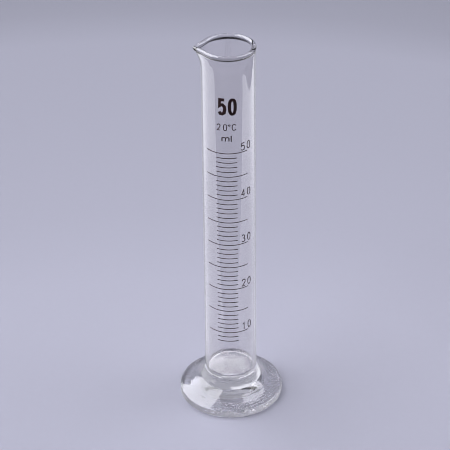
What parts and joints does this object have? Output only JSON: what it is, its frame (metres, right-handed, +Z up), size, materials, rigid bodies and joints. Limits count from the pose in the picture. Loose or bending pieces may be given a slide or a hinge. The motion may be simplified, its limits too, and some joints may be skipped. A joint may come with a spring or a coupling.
{
  "type": "graduated cylinder",
  "caption": "Tall clear glass measuring cylinder with a pouring spout, a fired-on volume scale and a wide round pressed glass foot.",
  "frame": {"origin": "on the tube's axis, at the surface the foot stands on", "axes": "+Z up along the tube's axis to the mouth; the scale faces -Y; the spout points to -X"},
  "size_m": [0.05, 0.05, 0.1938],
  "materials": {
    "tube_glass": "clear drawn glass, smooth, with a fire-polished rim",
    "foot_glass": "clear pressed glass, faint turning marks on the skirt and a pebbled sole",
    "fired_enamel": "thin dark red-brown fired print, half gloss, uneven at its edges"
  },
  "bodies": {
    "root": {"measuring_tube": "tube_glass", "foot": "foot_glass", "fusion_seal": "foot_glass", "major_graduations": "fired_enamel", "minor_graduations": "fired_enamel", "numeral_10": "fired_enamel", "numeral_20": "fired_enamel", "numeral_30": "fired_enamel", "numeral_40": "fired_enamel", "numeral_50": "fired_enamel", "capacity_mark": "fired_enamel", "temperature_mark": "fired_enamel", "unit_mark": "fired_enamel"}
  },
  "joints": []
}
